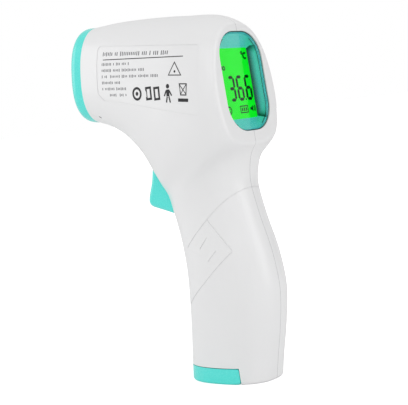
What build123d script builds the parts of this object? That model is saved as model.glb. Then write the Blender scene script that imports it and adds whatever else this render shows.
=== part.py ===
from build123d import *
import os
from math import cos, sin, pi, hypot, radians

# Hand-held infrared thermometer. The nose aims along -X, the display faces the
# user at +X, the case splits at Y = 0, +Z is up, and the foot rests on Z = 0.
os.makedirs("parts", exist_ok=True)

# ---------------------------------------------------------------- driving sizes
WALL = 2.0                # moulded case wall
RIM_X, RIM_Z = 20.6, 124.5    # middle of the flat rim around the display
RIM_TILT = 4.1            # the rim leans back by this angle
RIM_ROUND = 2.2           # rounding of the rim's outer edge
FOOT_ROUND = 1.2          # rounding of the foot's outer edge

# Sections through the bent body, nose first. Each joins a point on the front or
# underside line to one on the back or top line, and has its half width, how far
# the width leans to the back, and the exponent of its rounded outline.
SECTIONS = (
    ((-58.5, 114.3), (-54.7, 156.6), 14.8, -0.02, 2.45),
    ((-50.5, 111.9), (-41.0, 156.9), 16.6, -0.02, 2.5),
    ((-42.5, 107.8), (-23.0, 156.1), 18.4, 0.00, 2.5),
    ((-36.5, 102.9), (-4.0, 154.4), 20.0, 0.03, 2.5),
    ((-31.8, 97.1), (13.0, 151.6), 21.4, 0.07, 2.5),
    ((-28.4, 90.5), (27.0, 139.5), 22.5, 0.13, 2.45),
    ((-25.5, 84.2), (30.0, 120.5), 22.0, 0.21, 2.4),
    ((-22.9, 78.3), (27.5, 104.5), 18.9, 0.24, 2.35),
    ((-20.9, 72.5), (19.8, 95.3), 16.4, 0.11, 2.35),
    ((-19.2, 66.5), (17.6, 85.5), 15.2, 0.03, 2.35),
    ((-17.6, 58.0), (20.0, 70.5), 15.2, 0.00, 2.35),
    ((-16.7, 48.0), (24.2, 55.0), 15.8, 0.00, 2.35),
    ((-17.0, 36.5), (26.2, 39.5), 15.9, 0.00, 2.4),
    ((-18.4, 22.5), (24.4, 23.5), 15.2, 0.00, 2.4),
    ((-20.0, 8.5), (21.2, 8.5), 14.4, 0.00, 2.45),
    ((-20.9, 0.0), (19.6, 0.0), 13.9, 0.00, 2.5),
)
STEPS_ALONG, STEPS_ROUND = 48, 24     # points of the skin's grid

# nose cap and sensor, along the nose axis
CAP_LENGTH = 8.5
CAP_ROUND = 5.0
CAP_SKIRT = 4.0           # spigot inside the case mouth
CAP_WALL = 2.2
CAP_HOLE_R = 9.6
SADDLE_R, SADDLE_THICK = 12.4, 2.0
SADDLES = (-8.6, -15.4)   # backs of the two ribs that trap the sensor holder
BARREL_R, BARREL_FRONT, BARREL_BACK = 10.2, 6.2, -14.0
CONE_R, APERTURE_R, CONE_BACK = 8.6, 3.4, -6.5
CAN_R, CAN_FRONT, CAN_BACK = 4.6, -7.6, -12.2
HOLDER_R = 13.8
SENSOR_BOARD_FRONT, SENSOR_BOARD_BACK = -15.6, -17.0

# display stack, as depths behind the rim
OPENING_W, OPENING_H, OPENING_R = 29.6, 41.0, 11.5
WINDOW_FRONT, WINDOW_BACK = 0.5, 1.7
FLANGE_BACK, BEZEL_BACK = 3.4, 5.6
VIEW_W, VIEW_H, VIEW_UP = 23.0, 29.4, -0.3
LCD_BACK, LIGHT_BACK, BOARD_BACK = 7.6, 10.8, 12.4

# trigger
PIVOT_X, PIVOT_Z, PIVOT_R = -25.4, 95.4, 1.0
TRIGGER_HALF = 7.4
SLOT_HALF = 7.9
SLOT_LOW, SLOT_HIGH = 71.4, 97.4
RUN_FIT = 0.05            # radial play of a turning pin

# push switches
SWITCH_SIDE, SWITCH_DEPTH, PLUNGER_R = 6.0, 3.4, 1.7
TRIGGER_SWITCH_FRONT, TRIGGER_SWITCH_Z = -18.6, 89.4
TRIGGER_BOARD_THICK = 1.4

# side keys
KEYS = {"mode": (-24.0, 19.9), "set": (-9.0, 21.3)}     # middle X, outer face Y
KEY_Z, KEY_R, KEY_GAP = 132.0, 4.5, 0.3
KEY_BOARD_Y, KEY_BOARD_THICK = 9.0, 1.2
KEY_POSTS = ((-31.0, 124.5), (-2.5, 124.5))
KEY_TIP = 4.4             # top of a key's plunger above its board

# battery bay
DOOR_END, DOOR_TOP, DOOR_GAP = 10.0, 6.9, 0.3
FLOOR = 2.0
HINGE_X, HINGE_Z, HINGE_R, HINGE_PIN_R = 8.0, 2.0, 2.0, 0.8
LUG_IN, LUG_OUT = 8.0, 10.5
CELL_R, CELL_LENGTH, CELL_PITCH = 5.25, 44.5, 11.2
BAY_X, BAY_Z, BAY_LEAN = -4.6, 5.6, 5.0
CRADLE_R, CRADLE_LOW, CRADLE_TOP, CRADLE_FLANGE = 6.5, 0.5, 48.6, 30.0
CONTACT_UNDER, CONTACT_THICK = 46.9, 0.3
COLLAR_THICK = 1.5
DOOR_CORNER = 1.0

# screws that hold the halves: x, z
CASE_SCREWS = ((-41.0, 117.5), (-14.0, 147.0), (14.0, 64.5), (14.8, 16.5))
BOSS_R, SCREW_R, SCREW_HEAD_R = 3.4, 1.25, 2.5
SCREW_SEAT, SCREW_END = 2.2, -10.0
SMALL_SCREW_R, SMALL_HEAD_R = 0.9, 1.7

RIM = Plane(
    origin=(RIM_X, 0, RIM_Z),
    x_dir=(0, 1, 0),
    z_dir=(cos(radians(RIM_TILT)), 0, sin(radians(RIM_TILT))),
)
TRIGGER_BOARD_FRONT = TRIGGER_SWITCH_FRONT + SWITCH_DEPTH
NOSE_LOW, NOSE_TOP, NOSE_HALF, NOSE_LEAN, NOSE_POWER = SECTIONS[0]
NOSE_TALL = hypot(NOSE_TOP[0] - NOSE_LOW[0], NOSE_TOP[1] - NOSE_LOW[1])
NOSE = Plane(
    origin=((NOSE_LOW[0] + NOSE_TOP[0]) / 2, 0, (NOSE_LOW[1] + NOSE_TOP[1]) / 2),
    x_dir=(0, -1, 0),
    z_dir=(NOSE_LOW[1] - NOSE_TOP[1], 0, NOSE_TOP[0] - NOSE_LOW[0]),
)
BAY = Plane(
    origin=(BAY_X, 0, BAY_Z),
    x_dir=(cos(radians(BAY_LEAN)), 0, -sin(radians(BAY_LEAN))),
    z_dir=(sin(radians(BAY_LEAN)), 0, cos(radians(BAY_LEAN))),
)


# ---------------------------------------------------------------- the body's skin
def section_rows():
    """The sections as flat rows of numbers."""
    return [(f[0], f[1], r[0], r[1], w, k, n) for f, r, w, k, n in SECTIONS]


ROWS = section_rows()
STOPS = [0.0]
for a, b in zip(ROWS, ROWS[1:]):
    STOPS.append(STOPS[-1] + (hypot(b[0] - a[0], b[1] - a[1]) + hypot(b[2] - a[2], b[3] - a[3])) / 2)


def row_slopes():
    """How fast each number of a row changes along the body."""
    slopes = []
    last = len(ROWS) - 1
    for i in range(len(ROWS)):
        lo, hi = max(i - 1, 0), min(i + 1, last)
        if lo == i or hi == i:
            slopes.append([(ROWS[hi][c] - ROWS[lo][c]) / (STOPS[hi] - STOPS[lo]) for c in range(7)])
            continue
        before, after = STOPS[i] - STOPS[lo], STOPS[hi] - STOPS[i]
        row = []
        for c in range(7):
            rise_in = (ROWS[i][c] - ROWS[lo][c]) / before
            rise_out = (ROWS[hi][c] - ROWS[i][c]) / after
            row.append((rise_in * after + rise_out * before) / (before + after))
        slopes.append(row)
    return slopes


SLOPES = row_slopes()


def row_at(t):
    """The section at distance t along the body, by cubic blending."""
    i = min(len(STOPS) - 2, max(0, sum(1 for stop in STOPS if stop <= t) - 1))
    span = STOPS[i + 1] - STOPS[i]
    s = (t - STOPS[i]) / span
    near, far = 2 * s**3 - 3 * s**2 + 1, 3 * s**2 - 2 * s**3
    lead, trail = (s**3 - 2 * s**2 + s) * span, (s**3 - s**2) * span
    return [
        near * ROWS[i][c] + far * ROWS[i + 1][c] + lead * SLOPES[i][c] + trail * SLOPES[i + 1][c]
        for c in range(7)
    ]


def outline_point(q, power):
    """A point of the rounded outline of half size one, q running from back to front."""
    size = (abs(cos(q)) ** power + abs(sin(q)) ** power) ** (-1 / power)
    return -size * cos(q), size * sin(q)


def half_section(t, inset):
    """Points of one half of the section at t, moved in from the skin by inset."""
    fx, fz, bx, bz, half, lean, power = row_at(t)
    before, after = row_at(max(0, t - 0.5)), row_at(min(STOPS[-1], t + 0.5))
    reach = hypot(bx - fx, bz - fz)
    ux, uz = (bx - fx) / reach, (bz - fz) / reach
    moved = []
    for c in (0, 2):
        tx, tz = after[c] - before[c], after[c + 1] - before[c + 1]
        moved.append(inset / max(0.5, abs(ux * tz - uz * tx) / hypot(tx, tz)))
    fx, fz = fx + ux * moved[0], fz + uz * moved[0]
    bx, bz = bx - ux * moved[1], bz - uz * moved[1]
    reach = hypot(bx - fx, bz - fz) / 2
    points = []
    for j in range(STEPS_ROUND + 1):
        u, v = outline_point(pi * j / STEPS_ROUND, power)
        side = 0 if j in (0, STEPS_ROUND) else (half - inset) * v * (1 + lean * u)
        points.append(Vector((fx + bx) / 2 + u * reach * ux, side, (fz + bz) / 2 + u * reach * uz))
    return points


def half_body(inset):
    """The right half of the whole body as one solid, its skin moved in by inset."""
    grid = [half_section(STOPS[-1] * i / STEPS_ALONG, inset) for i in range(STEPS_ALONG + 1)]
    skin = Face.make_surface_from_array_of_points(grid, tol=0.02, min_deg=3, max_deg=5)
    split_edges = skin.edges().filter_by(lambda e: max(abs((e @ s).Y) for s in (0.2, 0.5, 0.8)) < 1e-3)
    end_edges = skin.edges().filter_by(lambda e: max(abs((e @ s).Y) for s in (0.2, 0.5, 0.8)) > 1)
    chords = [Edge.make_line(e @ 0, e @ 1) for e in end_edges]
    ends = [Face(Wire([e, chord])) for e, chord in zip(end_edges, chords)]
    return Solid(Shell([skin, *ends, Face(Wire([*split_edges, *chords]))]))


def nose_outline(inset):
    """Points of the case mouth's outline in the nose plane."""
    points = []
    for j in range(2 * STEPS_ROUND):
        u, v = outline_point(pi * j / STEPS_ROUND, NOSE_POWER)
        points.append(((NOSE_HALF - inset) * v * (1 + NOSE_LEAN * u), (NOSE_TALL / 2 - inset) * u))
    return points


def across(x, z, y=0.0):
    """A plane facing +Y through a point of the split plane."""
    return Plane(origin=(x, y, z), x_dir=(1, 0, 0), z_dir=(0, 1, 0))


def depth(d):
    """The plane a given depth behind the display rim."""
    return RIM.offset(-d)


def save(part, name):
    part.label = name
    export_step(part, f"parts/{name}.step")


# ---------------------------------------------------------------- case halves
with BuildPart() as outer_half:
    add(half_body(0))
    split(bisect_by=RIM, keep=Keep.BOTTOM)
    rim_face = outer_half.faces().filter_by(GeomType.PLANE).sort_by(Axis.X)[-1]
    fillet(rim_face.edges().filter_by(lambda e: abs((e @ 0.5).Y) > 1), RIM_ROUND)
    foot_face = outer_half.faces().filter_by(Plane.XY).sort_by(Axis.Z)[0]
    fillet(foot_face.edges().filter_by(lambda e: abs((e @ 0.5).Y) > 1), FOOT_ROUND)

with BuildPart() as cavity_half:
    add(half_body(WALL))
    split(bisect_by=depth(WALL), keep=Keep.BOTTOM)
    split(bisect_by=Plane.XY.offset(FLOOR), keep=Keep.TOP)

with BuildPart() as boss_limit:
    add(half_body(WALL * 0.7))
    split(bisect_by=depth(WALL * 0.7), keep=Keep.BOTTOM)

# Grip lines on the cheek of the handle: a long arc over a chevron and two short strokes.
GRIP_LINE, GRIP_DEEP, PLATE_DEEP = 0.4, 0.2, 0.2
with BuildPart() as grip_lines:
    with BuildSketch(Plane.XZ):
        with BuildLine():
            Spline((19.6, 82.0), (12.4, 77.0), (4.2, 69.9), (-2.0, 64.4), (-8.6, 58.4))
        trace(line_width=GRIP_LINE)
        with BuildLine():
            FilletPolyline((4.4, 69.6), (14.6, 56.4), (-1.2, 42.8), (-12.4, 33.8), radius=1.2)
        trace(line_width=GRIP_LINE)
        with BuildLine():
            Line((3.2, 62.4), (-1.0, 57.8))
        trace(line_width=GRIP_LINE)
        with BuildLine():
            Line((7.2, 56.8), (2.9, 52.6))
        trace(line_width=GRIP_LINE)
    extrude(amount=-30)
    add(outer_half.part, mode=Mode.INTERSECT)
    add(half_body(GRIP_DEEP), mode=Mode.SUBTRACT)

# Fills inside one half: screw bosses, pivot bosses, saddles for the sensor,
# and clamps behind the bezel flange.
with BuildPart() as inner_fill:
    for x, z in CASE_SCREWS:
        with BuildSketch(across(x, z)):
            Circle(BOSS_R)
        extrude(amount=30)
    with BuildSketch(across(PIVOT_X, PIVOT_Z, SLOT_HALF + 0.5)):
        Circle(PIVOT_R + 2.0)
    extrude(amount=30)
    for saddle in SADDLES:
        with BuildSketch(NOSE.offset(saddle)):
            Rectangle(60, 60)
            Circle(SADDLE_R, mode=Mode.SUBTRACT)
        extrude(amount=SADDLE_THICK)
    with BuildSketch(depth(FLANGE_BACK + 1.6)):
        with Locations((20, 0)):
            Rectangle(9, 12)
    extrude(amount=1.5)
    # collar under the cradle's flange, and a stop over its roof
    with BuildSketch(BAY.offset(CRADLE_FLANGE - COLLAR_THICK - 0.1)):
        Rectangle(60, 60)
        SlotCenterToCenter(CELL_PITCH, 2 * CRADLE_R + 0.2, mode=Mode.SUBTRACT)
    extrude(amount=COLLAR_THICK)
    with BuildSketch(BAY.offset(CRADLE_TOP + 0.1)):
        Rectangle(60, 60)
        Rectangle(10, 7, mode=Mode.SUBTRACT)
    extrude(amount=COLLAR_THICK)
    # rails for the trigger's board, and a bar for the fixed leg of its spring
    with BuildSketch(Plane.XZ.offset(-9.4)):
        with Locations((TRIGGER_BOARD_FRONT + TRIGGER_BOARD_THICK / 2, TRIGGER_SWITCH_Z)):
            Rectangle(4.6, 11)
    extrude(amount=-20)
    with BuildSketch(Plane.XZ):
        with Locations((PIVOT_X - 0.5, PIVOT_Z + 6.8)):
            Rectangle(1.6, 2.4)
    extrude(amount=-30)
    with BuildSketch(Plane.XZ):
        with Locations((TRIGGER_BOARD_FRONT + TRIGGER_BOARD_THICK / 2, TRIGGER_SWITCH_Z)):
            Rectangle(TRIGGER_BOARD_THICK + 0.1, 15)
    extrude(amount=-10.8, mode=Mode.SUBTRACT)
    add(boss_limit.part, mode=Mode.INTERSECT)

with BuildPart() as case_half:
    add(outer_half.part)
    add(cavity_half.part, mode=Mode.SUBTRACT)
    with BuildSketch(NOSE):
        with BuildLine():
            Spline(*nose_outline(WALL), periodic=True)
        make_face()
    extrude(amount=1.5, both=True, mode=Mode.SUBTRACT)
    add(inner_fill.part)
    with BuildSketch(RIM.offset(1)):
        RectangleRounded(OPENING_W, OPENING_H, OPENING_R)
    extrude(amount=-4, mode=Mode.SUBTRACT)
    # slot for the trigger
    with BuildSketch(Plane.XZ):
        with BuildLine():
            Polyline((-45, SLOT_LOW), (-13, SLOT_LOW), (-13, 84), (-24, SLOT_HIGH), (-45, SLOT_HIGH), close=True)
        make_face()
    extrude(amount=-SLOT_HALF, mode=Mode.SUBTRACT)
    with BuildSketch(across(PIVOT_X, PIVOT_Z)):
        Circle(PIVOT_R)
    extrude(amount=11, mode=Mode.SUBTRACT)
    # bay for the battery door, with its hinge lugs left standing
    with Locations((DOOR_END + DOOR_GAP - 40, 15, (DOOR_TOP + DOOR_GAP) / 2)):
        Box(80, 40, DOOR_TOP + DOOR_GAP, mode=Mode.SUBTRACT)
    with BuildSketch(across(HINGE_X, HINGE_Z, LUG_IN)):
        Circle(HINGE_R)
        with Locations((HINGE_R, 0)):
            Rectangle(2 * HINGE_R, 2 * HINGE_R)
    extrude(amount=LUG_OUT - LUG_IN)
    with BuildSketch(across(HINGE_X, HINGE_Z)):
        Circle(HINGE_PIN_R)
    extrude(amount=LUG_OUT + 0.1, mode=Mode.SUBTRACT)
    add(grip_lines.part, mode=Mode.SUBTRACT)

with BuildPart() as key_posts:
    for x, z in KEY_POSTS:
        with BuildSketch(across(x, z, KEY_BOARD_Y + KEY_BOARD_THICK)):
            Circle(2.4)
        extrude(amount=20)
        with BuildSketch(across(x, z, KEY_BOARD_Y)):
            Circle(SMALL_SCREW_R)
        extrude(amount=7, mode=Mode.SUBTRACT)
    add(boss_limit.part, mode=Mode.INTERSECT)

with BuildPart() as right_shell:
    add(case_half.part)
    for x, z in CASE_SCREWS:
        with BuildSketch(across(x, z)):
            Circle(SCREW_R + 0.15)
        extrude(amount=30, mode=Mode.SUBTRACT)
        with BuildSketch(across(x, z, SCREW_SEAT)):
            Circle(SCREW_HEAD_R + 0.15)
        extrude(amount=30, mode=Mode.SUBTRACT)
    for x, face_y in KEYS.values():
        with BuildSketch(across(x, KEY_Z, face_y - 6)):
            Circle(KEY_R + KEY_GAP)
        extrude(amount=20, mode=Mode.SUBTRACT)
    add(key_posts.part)
save(right_shell.part, "right_shell")

# The left half carries the rating plate: a shallow field with a rounded front.
with BuildPart() as plate_field:
    with BuildSketch(Plane.XZ):
        with BuildLine():
            FilletPolyline((-44.2, 147.2), (-46.0, 127.0), (-43.0, 123.6), (-32.0, 122.0), (13.4, 112.2),
                           (13.4, 140.6), radius=2.0, close=True)
        make_face()
    extrude(amount=30)
    add(mirror(outer_half.part, about=Plane.XZ, mode=Mode.PRIVATE), mode=Mode.INTERSECT)
    add(mirror(half_body(PLATE_DEEP), about=Plane.XZ, mode=Mode.PRIVATE), mode=Mode.SUBTRACT)

with BuildPart() as left_shell:
    add(mirror(case_half.part, about=Plane.XZ, mode=Mode.PRIVATE))
    for x, z in CASE_SCREWS:
        with BuildSketch(across(x, z, SCREW_END)):
            Circle(SCREW_R)
        extrude(amount=-SCREW_END, mode=Mode.SUBTRACT)
    add(plate_field.part, mode=Mode.SUBTRACT)
save(left_shell.part, "left_shell")

# ---------------------------------------------------------------- nose and sensor
NOSE_AXIS = Axis(NOSE.origin, NOSE.z_dir)
NOSE_SIDE = Plane(origin=NOSE.origin, x_dir=NOSE.x_dir, z_dir=-NOSE.y_dir)

with BuildPart() as nose_cap:
    with BuildSketch(NOSE):
        with BuildLine():
            Spline(*nose_outline(0.12), periodic=True)
        make_face()
    extrude(amount=CAP_LENGTH)
    fillet(nose_cap.faces().sort_by(NOSE_AXIS)[-1].edges(), CAP_ROUND)
    with BuildSketch(NOSE.offset(-CAP_SKIRT)):
        with BuildLine():
            Spline(*nose_outline(WALL + 0.15), periodic=True)
        make_face()
    extrude(amount=CAP_SKIRT + 0.1)
    with BuildSketch(NOSE.offset(-CAP_SKIRT)):
        with BuildLine():
            Spline(*nose_outline(WALL + 1.5), periodic=True)
        make_face()
        Circle(BARREL_R + 1.6, mode=Mode.SUBTRACT)
    extrude(amount=CAP_SKIRT + CAP_LENGTH - CAP_ROUND - 0.6, mode=Mode.SUBTRACT)
    with BuildSketch(NOSE.offset(-CAP_SKIRT)):
        Circle(BARREL_R + 0.1)
    extrude(amount=CAP_SKIRT + BARREL_FRONT + 0.1, mode=Mode.SUBTRACT)
    with BuildSketch(NOSE):
        Circle(CAP_HOLE_R)
    extrude(amount=CAP_LENGTH + 1, mode=Mode.SUBTRACT)
save(nose_cap.part, "nose_cap")

# A turned metal block: an open cone in front, a pocket for the sensor behind.
with BuildPart() as sensor_barrel:
    with BuildSketch(NOSE_SIDE):
        with BuildLine():
            Polyline(
                (CONE_R, BARREL_FRONT), (BARREL_R, BARREL_FRONT), (BARREL_R, BARREL_BACK),
                (CAN_R, BARREL_BACK), (CAN_R, CAN_FRONT), (APERTURE_R, CAN_FRONT),
                (APERTURE_R, CONE_BACK), close=True,
            )
        make_face()
    revolve(axis=NOSE_AXIS)
save(sensor_barrel.part, "sensor_barrel")

FILTER_R, FILTER_THICK, PIN_RING_R, PIN_R = 2.7, 0.5, 2.54, 0.25
with BuildPart() as sensor_can:
    with BuildSketch(NOSE.offset(CAN_BACK)):
        Circle(CAN_R)
    extrude(amount=CAN_FRONT - CAN_BACK)
    with BuildSketch(NOSE.offset(CAN_FRONT - FILTER_THICK)):
        Circle(FILTER_R)
    extrude(amount=1, mode=Mode.SUBTRACT)
    with BuildSketch(NOSE.offset(SENSOR_BOARD_BACK - 1.2)):
        with PolarLocations(PIN_RING_R, 4, 45):
            Circle(PIN_R)
    extrude(amount=CAN_BACK - SENSOR_BOARD_BACK + 1.3)
save(sensor_can.part, "sensor_can")

with BuildPart() as sensor_window:
    with BuildSketch(NOSE.offset(CAN_FRONT - FILTER_THICK)):
        Circle(FILTER_R)
    extrude(amount=FILTER_THICK)
save(sensor_window.part, "sensor_window")

with BuildPart() as sensor_holder:
    with BuildSketch(NOSE.offset(SADDLES[1] + 0.2)):
        Circle(SADDLE_R - 0.2)
    extrude(amount=SADDLES[0] + SADDLE_THICK - SADDLES[1] - 0.4)
    with BuildSketch(NOSE.offset(SADDLES[1] + SADDLE_THICK + 0.1)):
        Circle(HOLDER_R)
    extrude(amount=SADDLES[0] - SADDLES[1] - SADDLE_THICK - 0.2)
    with BuildSketch(NOSE.offset(BARREL_BACK)):
        Circle(BARREL_R)
    extrude(amount=20, mode=Mode.SUBTRACT)
    with BuildSketch(NOSE.offset(SADDLES[1])):
        Circle(8.0)
    extrude(amount=5, mode=Mode.SUBTRACT)
save(sensor_holder.part, "sensor_holder")

with BuildPart() as sensor_board:
    with BuildSketch(NOSE.offset(SENSOR_BOARD_BACK)):
        Circle(10.5)
        with PolarLocations(PIN_RING_R, 4, 45):
            Circle(PIN_R + 0.1, mode=Mode.SUBTRACT)
    extrude(amount=SENSOR_BOARD_FRONT - SENSOR_BOARD_BACK)
save(sensor_board.part, "sensor_board")

# ---------------------------------------------------------------- display stack
BOARD_POSTS = ((-9.0, 17.4), (9.0, 17.4), (-12.4, -19.4), (12.4, -19.4))
POST_R = 2.2

with BuildPart() as room:
    add(half_body(WALL + 0.2))
    split(bisect_by=depth(WALL), keep=Keep.BOTTOM)
    mirror(about=Plane.XZ)

with BuildPart() as display_window:
    with BuildSketch(depth(WINDOW_BACK)):
        RectangleRounded(OPENING_W - 0.3, OPENING_H - 0.3, OPENING_R - 0.15)
    extrude(amount=WINDOW_BACK - WINDOW_FRONT)
save(display_window.part, "display_window")

with BuildPart() as bezel_flange:
    with BuildSketch(depth(FLANGE_BACK)):
        RectangleRounded(OPENING_W + 4, OPENING_H + 3, OPENING_R + 1)
    extrude(amount=FLANGE_BACK - WALL)
    add(room.part, mode=Mode.INTERSECT)

with BuildPart() as display_bezel:
    add(bezel_flange.part)
    with BuildSketch(depth(BEZEL_BACK)):
        with Locations((0, VIEW_UP)):
            RectangleRounded(VIEW_W + 6, VIEW_H + 7.6, 3)
    extrude(amount=BEZEL_BACK - FLANGE_BACK)
    with BuildSketch(depth(LIGHT_BACK)):
        with Locations(*BOARD_POSTS):
            Circle(POST_R)
    extrude(amount=LIGHT_BACK - FLANGE_BACK)
    with BuildSketch(depth(WALL)):
        RectangleRounded(OPENING_W - 0.3, OPENING_H - 0.3, OPENING_R - 0.15)
    extrude(amount=WALL - WINDOW_BACK)
    # the funnel from the window down to the visible field
    with BuildSketch(depth(WINDOW_BACK)):
        RectangleRounded(OPENING_W - 2.0, OPENING_H - 2.0, OPENING_R - 1.0)
    with BuildSketch(depth(BEZEL_BACK)):
        with Locations((0, VIEW_UP)):
            RectangleRounded(VIEW_W, VIEW_H, 0.8)
    loft(mode=Mode.SUBTRACT)
    with BuildSketch(depth(LIGHT_BACK)):
        with Locations(*BOARD_POSTS):
            Circle(SMALL_SCREW_R)
    extrude(amount=5.5, mode=Mode.SUBTRACT)
save(display_bezel.part, "display_bezel")


def display_block(name, wide, low, high, back, front):
    """A flat block of the display stack between two depths and two heights."""
    with BuildPart() as block:
        with BuildSketch(depth(back)):
            with Locations((0, (low + high) / 2)):
                Rectangle(wide, high - low)
        extrude(amount=back - front)
    save(block.part, name)


display_block("lcd_panel", 25.6, -17.0, 14.8, LCD_BACK, BEZEL_BACK)
display_block("lcd_backlight", 25.0, -13.8, 14.4, LIGHT_BACK, LCD_BACK)
display_block("zebra_strip", 23.0, -16.8, -14.4, LIGHT_BACK, LCD_BACK)

with BuildPart() as main_board:
    with BuildSketch(depth(BOARD_BACK)):
        RectangleRounded(31, 43.6, 2)
        with Locations(*BOARD_POSTS):
            Circle(SMALL_SCREW_R, mode=Mode.SUBTRACT)
    extrude(amount=BOARD_BACK - LIGHT_BACK)
    add(room.part, mode=Mode.INTERSECT)
save(main_board.part, "main_board")

with BuildPart() as board_screws:
    with BuildSketch(depth(BOARD_BACK + 1.2)):
        with Locations(*BOARD_POSTS):
            Circle(SMALL_HEAD_R)
    extrude(amount=1.2)
    with BuildSketch(depth(BOARD_BACK)):
        with Locations(*BOARD_POSTS):
            Circle(SMALL_SCREW_R)
    extrude(amount=5.5)
save(board_screws.part, "board_screws")

CHIPS = (                 # across, up, width, height, thickness
    (-3.0, 2.0, 9.0, 9.0, 1.2),
    (8.0, 4.0, 4.0, 5.0, 1.4),
    (8.5, -6.0, 3.2, 3.2, 1.0),
    (-9.5, -6.0, 5.0, 2.2, 2.4),
    (0.0, 14.5, 6.0, 3.0, 2.0),
)
with BuildPart() as board_chips:
    for u, v, wide, tall, thick in CHIPS:
        with BuildSketch(depth(BOARD_BACK + thick)):
            with Locations((u, v)):
                Rectangle(wide, tall)
        extrude(amount=thick)
save(board_chips.part, "board_chips")

BUZZER_UP, BUZZER_R, BUZZER_DEEP = -12.6, 5.0, 4.0
with BuildPart() as buzzer:
    with BuildSketch(depth(BOARD_BACK + BUZZER_DEEP)):
        with Locations((0, BUZZER_UP)):
            Circle(BUZZER_R)
    extrude(amount=BUZZER_DEEP)
    with BuildSketch(depth(BOARD_BACK + BUZZER_DEEP)):
        with Locations((0, BUZZER_UP)):
            Circle(1.0)
    extrude(amount=1.5, mode=Mode.SUBTRACT)
save(buzzer.part, "buzzer")

# ---------------------------------------------------------------- trigger
with BuildPart() as trigger:
    with BuildSketch(Plane.XZ) as side_view:
        with BuildLine():
            face_curve = Spline((-28.5, 97.0), (-29.6, 90.2), (-30.9, 85.2), (-32.6, 80.8), (-33.2, 75.9))
            Polyline(
                face_curve @ 1, (-20.6, 72.2), (-17.2, 72.2), (-17.2, 79.6), (-21.2, 84.6),
                (-21.2, 94.0), (-23.4, 97.0), face_curve @ 0,
            )
        make_face()
        fillet(side_view.vertices().sort_by(Axis.X)[0], 3.0)
    extrude(amount=TRIGGER_HALF, both=True)
    face_edges = trigger.edges().filter_by(lambda e: abs((e @ 0.5).Y) > 7 and (e @ 0.5).X < -29.0)
    fillet(face_edges, 2.2)
    with BuildSketch(Plane.XZ):
        with BuildLine():
            Polyline(
                (-27.6, 94.0), (-28.0, 90.0), (-28.9, 86.0), (-30.6, 80.6), (-30.6, 77.2),
                (-19.6, 74.6), (-15.0, 74.6), (-15.0, 78.6), (-19.6, 78.6), (-23.6, 84.0),
                (-23.6, 90.0), (-20.0, 93.0), (-20.0, 99.0), (-27.6, 99.0), close=True,
            )
        make_face()
    extrude(amount=5.0, both=True, mode=Mode.SUBTRACT)
    with BuildSketch(Plane.XZ):
        with Locations((PIVOT_X, PIVOT_Z)):
            Circle(PIVOT_R + RUN_FIT)
    extrude(amount=20, both=True, mode=Mode.SUBTRACT)
save(trigger.part, "trigger")

with BuildPart() as trigger_pin:
    with BuildSketch(across(PIVOT_X, PIVOT_Z, -10.9)):
        Circle(PIVOT_R)
    extrude(amount=21.8)
save(trigger_pin.part, "trigger_pin")

# A close-wound spring on the pin, with a leg into the trigger and one up to the bar.
SPRING_R, SPRING_WIRE_R, SPRING_TURNS = 1.7, 0.32, 6
with BuildPart() as trigger_spring:
    for turn in range(SPRING_TURNS):
        with Locations(across(PIVOT_X, PIVOT_Z, (turn - (SPRING_TURNS - 1) / 2) * 1.9 * SPRING_WIRE_R)):
            Torus(SPRING_R, SPRING_WIRE_R)
    with BuildSketch(Plane.XY.offset(PIVOT_Z)):
        with Locations((PIVOT_X - SPRING_R, -1.5)):
            Circle(SPRING_WIRE_R)
    extrude(amount=-9.0)
    with BuildSketch(Plane.XY.offset(PIVOT_Z)):
        with Locations((PIVOT_X + SPRING_R, 1.5)):
            Circle(SPRING_WIRE_R)
    extrude(amount=7.6)
save(trigger_spring.part, "trigger_spring")

with BuildPart() as trigger_board:
    with BuildSketch(Plane.XZ):
        with Locations((TRIGGER_BOARD_FRONT + TRIGGER_BOARD_THICK / 2, TRIGGER_SWITCH_Z)):
            Rectangle(TRIGGER_BOARD_THICK, 13)
    extrude(amount=10.6, both=True)
save(trigger_board.part, "trigger_board")


def push_switch(name, seat, tip):
    """A push switch body on its seat plane, and its plunger out to the height tip."""
    with BuildPart() as body:
        with BuildSketch(seat):
            Rectangle(SWITCH_SIDE, SWITCH_SIDE)
        extrude(amount=SWITCH_DEPTH)
        with BuildSketch(seat.offset(0.8)):
            Circle(PLUNGER_R + 0.1)
        extrude(amount=SWITCH_DEPTH, mode=Mode.SUBTRACT)
    save(body.part, f"{name}_switch_body")
    with BuildPart() as plunger:
        with BuildSketch(seat.offset(1.7)):
            Circle(PLUNGER_R)
        extrude(amount=tip - 1.7)
    save(plunger.part, f"{name}_switch_plunger")


TRIGGER_SEAT = Plane(
    origin=(TRIGGER_BOARD_FRONT, 0, TRIGGER_SWITCH_Z), x_dir=(0, 1, 0), z_dir=(-1, 0, 0)
)
push_switch("trigger", TRIGGER_SEAT, 5.9)

# ---------------------------------------------------------------- side keys
with BuildPart() as key_board:
    with BuildSketch(across(-16.75, 129.6, KEY_BOARD_Y)):
        RectangleRounded(33.5, 15.5, 1.5)
    extrude(amount=KEY_BOARD_THICK)
    for x, z in KEY_POSTS:
        with BuildSketch(across(x, z, KEY_BOARD_Y)):
            Circle(SMALL_SCREW_R)
        extrude(amount=KEY_BOARD_THICK, mode=Mode.SUBTRACT)
save(key_board.part, "key_board")

with BuildPart() as key_board_screws:
    for x, z in KEY_POSTS:
        with BuildSketch(across(x, z, KEY_BOARD_Y - 1.2)):
            Circle(SMALL_HEAD_R)
        extrude(amount=1.2)
        with BuildSketch(across(x, z, KEY_BOARD_Y)):
            Circle(SMALL_SCREW_R)
        extrude(amount=5.5)
save(key_board_screws.part, "key_board_screws")

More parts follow.
